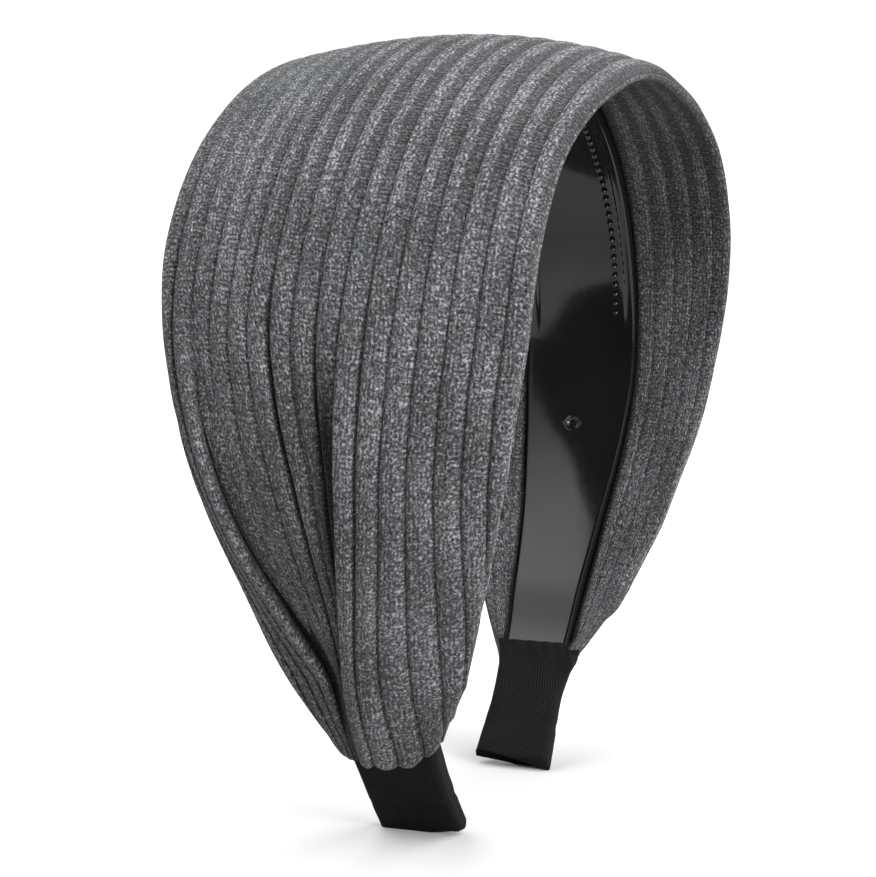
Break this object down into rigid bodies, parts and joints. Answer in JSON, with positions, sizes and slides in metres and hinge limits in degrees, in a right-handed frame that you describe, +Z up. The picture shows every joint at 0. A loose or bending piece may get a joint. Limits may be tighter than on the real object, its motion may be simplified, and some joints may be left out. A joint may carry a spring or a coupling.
{
  "type": "wide headband",
  "caption": "Wide knitted headband: a springy moulded hoop covered by a broad ribbed knit band that is gathered at both ends above ribbon-wrapped tips",
  "frame": {"origin": "on the surface that the two tips stand on, midway between the tips", "axes": "+Z up to the crown, X from ear to ear, the front edge of the band faces -Y; the band's width runs along Y"},
  "size_m": [0.141, 0.0652, 0.14],
  "materials": {
    "hoop_plastic": "moulded, glossy",
    "rib_knit": "heathered rib knit, matt",
    "grosgrain": "fine ribbed ribbon, matt"
  },
  "bodies": {
    "root": {"plastic_hoop": "hoop_plastic", "knit_cover": "rib_knit", "tip_wrap_left": "grosgrain", "tip_wrap_right": "grosgrain"}
  },
  "joints": []
}
